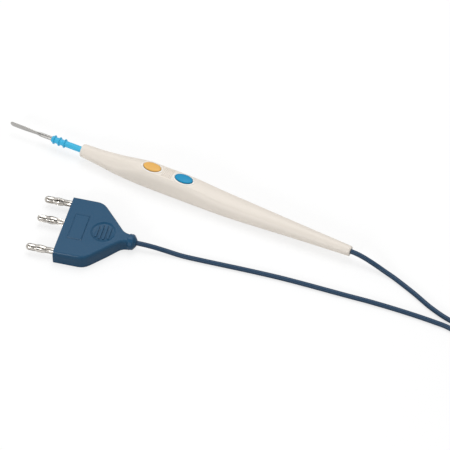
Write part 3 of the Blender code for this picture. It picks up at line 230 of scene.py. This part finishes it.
# Floor: its tone to bounced light, and the part of it that the camera sees lit and glowing
FLOOR_TONE = 0.82
FLOOR_LIT_SHARE = 0.34
FLOOR_GLOW = 0.72
FLOOR_ROUGHNESS = 0.9
FLOOR_HALF = 3.0
FLOOR_Z = -0.05 * MM


def material_named(name):
    """Empty material with nodes."""
    made = bpy.data.materials.new(name)
    made.use_nodes = True
    return made


def add_node(tree, kind, inputs=None, **settings):
    """A shader node with its settings, and its inputs set to values or linked to other nodes' sockets."""
    made = tree.nodes.new(kind)
    for name, value in settings.items():
        setattr(made, name, value)
    for name, value in (inputs or {}).items():
        if isinstance(value, bpy.types.NodeSocket):
            tree.links.new(value, made.inputs[name])
        else:
            made.inputs[name].default_value = value
    return made


def mixed_colour(tree, factor, first, second):
    """Socket with a colour that a factor takes from the first to the second."""
    made = add_node(tree, "ShaderNodeMix", {"Factor": factor}, data_type="RGBA")
    made.inputs[6].default_value = (*first, 1)
    made.inputs[7].default_value = (*second, 1)
    return made.outputs[2]


def catmull_rom(route, spacing):
    """Points about one spacing apart on a smooth curve through the route's own points."""
    route = [Vector(point) for point in route]
    ends = [route[0] * 2 - route[1]] + route + [route[-1] * 2 - route[-2]]
    points = [route[0]]
    for before, start, end, after in zip(ends, ends[1:], ends[2:], ends[3:]):
        count = max(1, round((end - start).length / spacing))
        for i in range(1, count + 1):
            t = i / count
            points.append(0.5 * (2 * start + (end - before) * t
                                 + (2 * before - 5 * start + 4 * end - after) * t * t
                                 + (3 * start - before - 3 * end + after) * t ** 3))
    return points


def plug_point(along, z, across=0.0):
    """World point in the plug's own frame, on its middle line unless moved across to the near side."""
    turn = math.radians(PLUG_TURN_DEG)
    return (PLUG_PLACE.x + along * math.cos(turn) + across * math.sin(turn),
            PLUG_PLACE.y + along * math.sin(turn) - across * math.cos(turn), z)


def pin_point(offset, along, radius, angle):
    """World point at an angle round the middle line of the pin that lies at an offset across the plug."""
    return plug_point(along, PLUG_AXIS_Z + radius * math.sin(angle), offset + radius * math.cos(angle))


def on_surface(*places):
    """Points of a cable that lies on the surface, from (x, y) places in millimetres."""
    return [(x * MM, y * MM, CABLE_REST_Z) for x, y in places]


def coil_point(angle_deg, outward, up):
    """World point at an angle round the coil, from a place in its bundle's section."""
    angle = math.radians(angle_deg)
    radius = COIL_RADIUS + outward
    return (COIL_PLACE.x + radius * math.cos(angle), COIL_PLACE.y + radius * math.sin(angle), COIL_Z + up)


def beside_coil(angle_deg):
    """Point on the surface where the cable lies against the foot of the coil."""
    return coil_point(angle_deg, BESIDE_COIL - COIL_RADIUS, CABLE_REST_Z - COIL_Z)


def strand_places():
    """Places of the strands in the bundle's section, in the order that the cable fills them."""
    foot = math.degrees(math.atan2(CABLE_REST_Z - COIL_Z, BESIDE_COIL - COIL_RADIUS))
    outer_radius = STRAND_PITCH / 2 / math.sin(math.pi / OUTER_STRANDS)
    outer = [(outer_radius, foot + 360 / OUTER_STRANDS * (i + 0.5)) for i in range(OUTER_STRANDS)]
    turned_in = outer[OUTER_STRANDS // 2 - 1][1] + 180 / OUTER_STRANDS
    inner = [(STRAND_PITCH, turned_in - 30 - 60 * i) for i in range(INNER_STRANDS)]
    first_half, second_half = OUTER_STRANDS // 2, INNER_STRANDS // 2
    order = outer[:first_half] + inner[:second_half] + [(0, 0)] + inner[second_half:] + outer[first_half:]
    return [(r * math.cos(math.radians(a)), r * math.sin(math.radians(a))) for r, a in order]


def ease(share):
    """Smooth step from 0 to 1."""
    share = min(1, max(0, share))
    return share * share * (3 - 2 * share)


def coil_turns():
    """The cable's turns, clockwise from the far side, one place on in the bundle at each turn."""
    places = strand_places()
    foot = (BESIDE_COIL - COIL_RADIUS, CABLE_REST_Z - COIL_Z)
    half = COIL_STEPS // 2
    points = []
    for turn, place in enumerate(places):
        before = foot if turn == 0 else place
        after = foot if turn == len(places) - 1 else place
        for i in range(half + 1):
            share = i / half
            joined = ease(share / JOINING_SHARE)
            left = ease((share - 1 + JOINING_SHARE) / JOINING_SHARE)
            section = [b + (p - b) * joined + (a - p) * left for b, p, a in zip(before, place, after)]
            points.append(coil_point(90 - 180 * share, *section))
        if turn < len(places) - 1:
            for i in range(1, half):
                share = i / half
                moved = ease((share - MOVE_MARGIN) / (1 - 2 * MOVE_MARGIN))
                section = [p + (n - p) * moved for p, n in zip(place, places[turn + 1])]
                points.append(coil_point(-90 - 180 * share, *section))
    return [Vector(point) for point in points]


def cable_points():
    """The whole cable, from inside the tail to inside the plug."""
    to_coil = [(TAIL_X - CABLE_IN_TAIL, 0, AXIS_Z), (TAIL_X, 0, AXIS_Z),
               (107.5 * MM, -0.15 * MM, 5.4 * MM), (114.6 * MM, -0.7 * MM, 3.8 * MM),
               (121.0 * MM, -1.5 * MM, 2.2 * MM),
               *on_surface((128.0, -3.0), (140.3, -7.5), (152.2, -12.4), (163.8, -15.5),
                           (174.0, -15.6), (184.5, -9.5), (193.5, -0.8)),
               beside_coil(120), beside_coil(105), beside_coil(90)]
    to_plug = [beside_coil(-90), beside_coil(-105), beside_coil(-120),
               *on_surface((193.5, -37.5), (185.0, -29.5), (176.0, -22.8), (165.9, -20.3),
                           (157.2, -20.1), (142.5, -20.8), (124.5, -22.4), (107.5, -24.6),
                           (85.1, -27.4), (70.9, -29.5), (54.9, -32.4), (44.1, -34.5),
                           (32.3, -36.8), (22.5, -38.5)),
               (14.0 * MM, -39.9 * MM, 2.3 * MM), (6.5 * MM, -41.5 * MM, 3.5 * MM),
               plug_point(PLUG_LENGTH, PLUG_AXIS_Z), plug_point(CABLE_END_IN_PLUG, PLUG_AXIS_Z)]
    return catmull_rom(to_coil, CABLE_STEP) + coil_turns()[1:-1] + catmull_rom(to_plug, CABLE_STEP)


def make_cable(surface):
    """One cord from the tail, round the coil and into the plug."""
    points = cable_points()
    curve = bpy.data.curves.new("cable", "CURVE")
    curve.dimensions = "3D"
    curve.bevel_depth = CABLE_DIAMETER / 2
    curve.bevel_resolution = CABLE_BEVEL_STEPS
    curve.use_fill_caps = True
    line = curve.splines.new("POLY")
    line.points.add(len(points) - 1)
    for spot, point in zip(line.points, points):
        spot.co = (*point, 1)
    line.use_smooth = True
    cable = bpy.data.objects.new("cable", curve)
    cable.data.materials.append(surface)
    bpy.context.scene.collection.objects.link(cable)
    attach(cable, "handle")
    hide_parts("cable_to_handle", "cable_to_plug", "cable_coil")


def plastic(name, colour, roughness, specular, painted_wall_shade):
    """Moulded plastic: faint clouds of colour, a fine grain with varied gloss, and painted shade that
    darkens upright walls.
    """
    made = material_named(name)
    tree = made.node_tree
    shader = tree.nodes["Principled BSDF"]
    places = add_node(tree, "ShaderNodeTexCoord").outputs["Object"]
    clouds = add_node(tree, "ShaderNodeTexNoise",
                      {"Vector": places, "Scale": CLOUDS_PER_MM / MM, "Detail": 3.0})
    fine = add_node(tree, "ShaderNodeTexNoise",
                    {"Vector": places, "Scale": 1 / PLASTIC_GRAIN, "Detail": 2.0})
    surface_colour = mixed_colour(tree, clouds.outputs["Fac"], [c * (1 - CLOUD_CONTRAST) for c in colour],
                                  [min(1, c * (1 + CLOUD_CONTRAST)) for c in colour])
    # Painted shade: upright faces, found by their world normal, get a darker colour than level ones
    if painted_wall_shade < 1:
        normal = add_node(tree, "ShaderNodeNewGeometry").outputs["Normal"]
        facing = add_node(tree, "ShaderNodeSeparateXYZ", {"Vector": normal}).outputs["Z"]
        painted_shade_factor = add_node(tree, "ShaderNodeMapRange",
                         {"Value": facing, "From Min": UPRIGHT_NORMAL_Z, "From Max": LEVEL_NORMAL_Z,
                          "To Min": painted_wall_shade, "To Max": 1.0})
        scaled = add_node(tree, "ShaderNodeVectorMath", {0: surface_colour}, operation="SCALE")
        tree.links.new(painted_shade_factor.outputs["Result"], scaled.inputs["Scale"])
        surface_colour = scaled.outputs["Vector"]
    tree.links.new(surface_colour, shader.inputs["Base Color"])
    gloss = add_node(tree, "ShaderNodeMapRange",
                     {"Value": fine.outputs["Fac"], "To Min": roughness - PLASTIC_ROUGHNESS_SPREAD,
                      "To Max": roughness + PLASTIC_ROUGHNESS_SPREAD})
    tree.links.new(gloss.outputs["Result"], shader.inputs["Roughness"])
    bump = add_node(tree, "ShaderNodeBump",
                    {"Height": fine.outputs["Fac"], "Distance": PLASTIC_GRAIN_HEIGHT})
    tree.links.new(bump.outputs["Normal"], shader.inputs["Normal"])
    shader.inputs["Specular IOR Level"].default_value = specular
    return made


def metal(name, colour, roughness, stretch):
    """Metal with fine marks, longer one way where it is brushed or drawn."""
    made = material_named(name)
    tree = made.node_tree
    shader = tree.nodes["Principled BSDF"]
    shader.inputs["Metallic"].default_value = 1.0
    places = add_node(tree, "ShaderNodeTexCoord").outputs["Object"]
    mapped = add_node(tree, "ShaderNodeMapping", {"Vector": places, "Scale": stretch})
    marks = add_node(tree, "ShaderNodeTexNoise",
                     {"Vector": mapped.outputs["Vector"], "Scale": 1 / METAL_MARK, "Detail": 4.0})
    tint = mixed_colour(tree, marks.outputs["Fac"], [c * (1 - METAL_TINT_SPREAD) for c in colour],
                        [min(1, c * (1 + METAL_TINT_SPREAD)) for c in colour])
    tree.links.new(tint, shader.inputs["Base Color"])
    gloss = add_node(tree, "ShaderNodeMapRange",
                     {"Value": marks.outputs["Fac"], "To Min": roughness * (1 - METAL_ROUGHNESS_SPREAD),
                      "To Max": roughness * (1 + METAL_ROUGHNESS_SPREAD)})
    tree.links.new(gloss.outputs["Result"], shader.inputs["Roughness"])
    bump = add_node(tree, "ShaderNodeBump", {"Height": marks.outputs["Fac"], "Distance": METAL_MARK_HEIGHT})
    tree.links.new(bump.outputs["Normal"], shader.inputs["Normal"])
    return made


def finish_mesh(mesh, surface):
    """Gives a mesh its material, and smooth shading with sharp edges past an angle."""
    mesh.materials.clear()
    mesh.materials.append(surface)
    mesh.shade_smooth()
    mesh.set_sharp_from_angle(angle=math.radians(SMOOTH_DEG))


def add_piece(name, build, surface):
    """Turns a closed bmesh into a piece that rides on the handle."""
    bmesh.ops.recalc_face_normals(build, faces=build.faces)
    mesh = bpy.data.meshes.new(name)
    build.to_mesh(mesh)
    build.free()
    finish_mesh(mesh, surface)
    piece = bpy.data.objects.new(name, mesh)
    bpy.context.scene.collection.objects.link(piece)
    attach(piece, "handle")
    return piece


def loft(build, sections, closed=False):
    """Skins loops of points with quads, joined into a ring or capped at both ends."""
    rings = [[build.verts.new(point) for point in section] for section in sections]
    for ring, following in zip(rings, rings[1:] + (rings[:1] if closed else [])):
        for i in range(len(ring)):
            j = (i + 1) % len(ring)
            build.faces.new((ring[i], ring[j], following[j], following[i]))
    if not closed:
        build.faces.new(rings[0])
        build.faces.new(rings[-1])


def make_key_rims(surface):
    """Low rounded rims that stand on the top facet round the two keys."""
    roof = BVHTree.FromObject(NODES["upper_shell"], bpy.context.evaluated_depsgraph_get())
    for key, middle in KEY_PLACES.items():
        sections = []
        for i in range(RIM_STATIONS):
            angle = 2 * math.pi * i / RIM_STATIONS
            inner, outer = (Vector((middle + reach.x * math.cos(angle), reach.y * math.sin(angle), 0))
                            for reach in (RIM_INNER, RIM_OUTER))
            for foot in (inner, outer):
                foot.z = roof.ray_cast(Vector((foot.x, foot.y, ABOVE_ALL_Z)), DOWN)[0].z
            sections.append([inner.lerp(outer, share) + Vector((0, 0, height * MM))
                             for share, height in RIM_PROFILE])
        build = bmesh.new()
        loft(build, sections, closed=True)
        add_piece(f"{key}_key_rim", build, surface)


def make_domes(surface):
    """Snap domes under the keys, copied from the plain ones."""
    for key, middle in KEY_PLACES.items():
        rigid = NODES[f"{key}_dome"]
        build = bmesh.new()
        build.from_mesh(rigid.data)
        dome = add_piece(f"{key}_snap_dome", build, surface)
        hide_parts(rigid.name)
        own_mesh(dome)


def make_pins(surface):
    """Slotted banana pins with round noses, in place of the plain ones."""
    profile = [tuple(size * MM for size in row) for row in PIN_PROFILE]
    for i in range(1, PIN_NOSE_STEPS):
        angle = math.pi / 2 * i / PIN_NOSE_STEPS
        profile.append((PIN_NOSE_START - PIN_NOSE_LENGTH * math.sin(angle),
                        PIN_NOSE_RADIUS * math.cos(angle), PIN_NOSE_SLOT * math.cos(angle)))
    made = []
    between = 360 / PIN_SLOT_COUNT
    for i, (offset, turn) in enumerate(zip(PIN_OFFSETS, PIN_TURNS_DEG)):
        sections = []
        for along, radius, cut in profile:
            section = []
            for spot in range(PIN_SEGMENTS):
                angle = 360 * spot / PIN_SEGMENTS
                from_slot = abs((angle - turn + between / 2) % between - between / 2)
                reach = radius - cut if from_slot < PIN_SLOT_HALF_DEG else radius
                section.append(pin_point(offset, along, reach, math.radians(angle)))
            sections.append(section)
        build = bmesh.new()
        loft(build, sections)
        pin = add_piece(f"slotted_pin_{i + 1}", build, surface)
        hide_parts(f"plug_pin_{i + 1}")
        made.append(pin.name)
    return made


def make_lanterns(surface):
    """Barrel springs of twisted ribs with eye-shaped openings between them, in place of the plain ones."""
    made = []
    for i, (offset, start_turn) in enumerate(zip(PIN_OFFSETS, SPRING_TURNS_DEG)):
        build = bmesh.new()
        for rib in range(RIB_COUNT):
            sections = []
            for station in range(RIB_STATIONS + 1):
                share = station / RIB_STATIONS
                opened = ease(min(share, 1 - share) / (0.5 - SPRING_COLLAR) - SPRING_COLLAR)
                bulge = math.sin(math.pi * share) ** SPRING_BULGE_POWER
                radius = SPRING_RADIUS + (SPRING_BULGE - SPRING_RADIUS) * bulge
                spread = RIB_SHARE_AT_ENDS + (RIB_SHARE_MIDWAY - RIB_SHARE_AT_ENDS) * opened
                middle = start_turn + SPRING_TWIST_DEG * (share - 0.5) + 360 / RIB_COUNT * rib
                angles = [math.radians(middle + 360 / RIB_COUNT * spread * (span / RIB_SPANS - 0.5))
                          for span in range(RIB_SPANS + 1)]
                along = SPRING_START + (SPRING_END - SPRING_START) * share
                around = [(radius, a) for a in angles]
                around += [(radius - SPRING_SHEET, a) for a in reversed(angles)]
                sections.append([pin_point(offset, along, r, a) for r, a in around])
            loft(build, sections)
        lantern = add_piece(f"lantern_spring_{i + 1}", build, surface)
        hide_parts(f"pin_spring_{i + 1}")
        made.append(lantern.name)
    return made


def make_pad_frame(surface):
    """Narrow raised frame along the edges of the plug's pad."""
    plug = BVHTree.FromObject(NODES["plug_body"], bpy.context.evaluated_depsgraph_get())
    pad_top = plug.ray_cast(Vector(plug_point(PAD_MIDDLE, ABOVE_ALL_Z)), DOWN)[0].z
    sections = []
    for along_side, across_side in ((-1, -1), (1, -1), (1, 1), (-1, 1)):
        sections.append([plug_point(PAD_MIDDLE + along_side * (PAD_HALF.x + out * MM), pad_top + up * MM,
                                    across_side * (PAD_HALF.y + out * MM))
                         for out, up in PAD_FRAME_PROFILE])
    build = bmesh.new()
    loft(build, sections, closed=True)
    return add_piece("pad_frame", build, surface).name


def make_seam(surface):
    """Strips that lie in the seam between the two shells, just below its edges, along both sides."""
    wall = BVHTree.FromObject(NODES["lower_shell"], bpy.context.evaluated_depsgraph_get())
    half_gap = SEAM_GAP / 2
    low, high = AXIS_Z - half_gap, AXIS_Z + half_gap
    build = bmesh.new()
    count = round((TAIL_X - NOSE_X - 2 * SEAM_END) / SEAM_STEP)
    for side in (-1, 1):
        sections = []
        for i in range(count + 1):
            x = NOSE_X + SEAM_END + (TAIL_X - NOSE_X - 2 * SEAM_END) * i / count
            beside = Vector((x, side * SEAM_RAY_START, low - SEAM_DEPTH))
            outer = wall.ray_cast(beside, Vector((0, -side, 0)))[0].y - side * SEAM_DEPTH
            inner = outer - side * SEAM_WIDTH
            sections.append([(x, outer, low), (x, outer, high), (x, inner, high), (x, inner, low)])
        loft(build, sections)
    add_piece("housing_seam", build, surface)


def make_camera():
    """Camera with a long lens, at the photograph's angle."""
    azimuth, elevation = math.radians(CAMERA_AZIMUTH_DEG), math.radians(CAMERA_ELEVATION_DEG)
    back = Vector((math.sin(azimuth) * math.cos(elevation), -math.cos(azimuth) * math.cos(elevation),
                   math.sin(elevation)))
    camera = bpy.data.objects.new("camera", bpy.data.cameras.new("camera"))
    camera.data.lens = LENS_MM
    camera.data.sensor_width = SENSOR_WIDTH_MM
    camera.location = CAMERA_TARGET + back * CAMERA_DISTANCE
    camera.rotation_euler = (-back).to_track_quat("-Z", "Y").to_euler()
    bpy.context.scene.collection.objects.link(camera)
    bpy.context.scene.camera = camera


def make_lamps():
    """Soft square lamps that look at the object."""
    for name, (place, size, watts) in LAMPS.items():
        lamp = bpy.data.objects.new(name, bpy.data.lights.new(name, "AREA"))
        lamp.data.size = size
        lamp.data.energy = watts
        lamp.location = place
        lamp.rotation_euler = (LAMP_AIM - Vector(place)).to_track_quat("-Z", "Y").to_euler()
        bpy.context.scene.collection.objects.link(lamp)


def seen_directly(tree):
    """1 for rays from the camera, off gloss or through glass, and 0 for the rest."""
    path = add_node(tree, "ShaderNodeLightPath")
    first = add_node(tree, "ShaderNodeMath", {0: path.outputs["Is Camera Ray"],
                                              1: path.outputs["Is Glossy Ray"]}, operation="MAXIMUM")
    both = add_node(tree, "ShaderNodeMath", {0: first.outputs[0],
                                             1: path.outputs["Is Transmission Ray"]}, operation="MAXIMUM")
    return both.outputs[0]


def smooth_range(tree, value, ends, first, last):
    """Socket that goes smoothly from first to last while a value goes from end to end."""
    made = add_node(tree, "ShaderNodeMapRange", {"Value": value, "From Min": ends[0], "From Max": ends[1],
                                                 "To Min": first, "To Max": last},
                    interpolation_type="SMOOTHSTEP")
    return made.outputs["Result"]


def make_world():
    """Pale surround: white where seen, plain light elsewhere, and for gloss dim one way and low down."""
    world = bpy.data.worlds.new("studio")
    bpy.context.scene.world = world
    world.use_nodes = True
    tree = world.node_tree
    ways = add_node(tree, "ShaderNodeTexCoord").outputs["Generated"]
    facing = add_node(tree, "ShaderNodeVectorMath", {0: ways, 1: DIM_WAY}, operation="DOT_PRODUCT")
    off_dim_way = smooth_range(tree, facing.outputs["Value"], DIM_WAY_COSINES, 1.0, DIM_LEVEL)
    height = add_node(tree, "ShaderNodeSeparateXYZ", {"Vector": ways}).outputs["Z"]
    off_horizon = smooth_range(tree, height, HORIZON_HEIGHTS, DIM_LEVEL, 1.0)
    dimmed = add_node(tree, "ShaderNodeMath", {0: off_dim_way, 1: off_horizon}, operation="MULTIPLY")
    path = add_node(tree, "ShaderNodeLightPath")
    glossy = add_node(tree, "ShaderNodeMix", {0: path.outputs["Is Glossy Ray"], 2: 1.0,
                                              3: dimmed.outputs[0]})
    strength = add_node(tree, "ShaderNodeMix", {0: seen_directly(tree), 2: WORLD_LEVEL,
                                                3: glossy.outputs[0]})
    background = tree.nodes["Background"]
    background.inputs["Color"].default_value = (1, 1, 1, 1)
    tree.links.new(strength.outputs[0], background.inputs["Strength"])


def make_floor():
    """Pale floor that keeps a soft part of the object's shadow, and is seen as white elsewhere."""
    mesh = bpy.data.meshes.new("floor")
    corners = [(x * FLOOR_HALF, y * FLOOR_HALF, 0) for x, y in ((-1, -1), (1, -1), (1, 1), (-1, 1))]
    mesh.from_pydata(corners, [], [(0, 1, 2, 3)])
    floor = bpy.data.objects.new("floor", mesh)
    floor.location.z = FLOOR_Z
    bpy.context.scene.collection.objects.link(floor)
    made = material_named("floor")
    tree = made.node_tree
    shader = tree.nodes["Principled BSDF"]
    by_camera = add_node(tree, "ShaderNodeLightPath").outputs["Is Camera Ray"]
    shade = mixed_colour(tree, by_camera, [FLOOR_TONE] * 3, [FLOOR_TONE * FLOOR_LIT_SHARE] * 3)
    tree.links.new(shade, shader.inputs["Base Color"])
    shader.inputs["Roughness"].default_value = FLOOR_ROUGHNESS
    shader.inputs["Specular IOR Level"].default_value = 0.0
    shader.inputs["Emission Color"].default_value = (1, 1, 1, 1)
    lift = add_node(tree, "ShaderNodeMix", {"Factor": by_camera, 2: 1 - FLOOR_TONE, 3: FLOOR_GLOW})
    lit = add_node(tree, "ShaderNodeMath", {0: seen_directly(tree), 1: lift.outputs[0]},
                   operation="MULTIPLY")
    tree.links.new(lit.outputs[0], shader.inputs["Emission Strength"])
    floor.data.materials.append(made)


def dress_all():
    """Gives every CAD node its look, and adds the pieces that only the dressed model has."""
    looks = {name: plastic(name, *row) for name, row in PLASTICS.items()}
    looks.update({name: metal(name, *row) for name, row in METALS.items()})
    for look, names in DRESSED.items():
        for name in names:
            finish_mesh(NODES[name].data, looks[look])
    make_seam(looks["ivory_plastic"])
    make_key_rims(looks["rim_plastic"])
    make_domes(looks["pin_metal"])
    plug_pieces = [make_pad_frame(looks["plug_vinyl"])]
    plug_pieces += make_pins(looks["pin_metal"]) + make_lanterns(looks["pin_metal"])
    make_cable(looks["cable_vinyl"])


bpy.context.scene.view_settings.view_transform = "Standard"
make_camera()
dress_all()
make_world()
make_lamps()
make_floor()
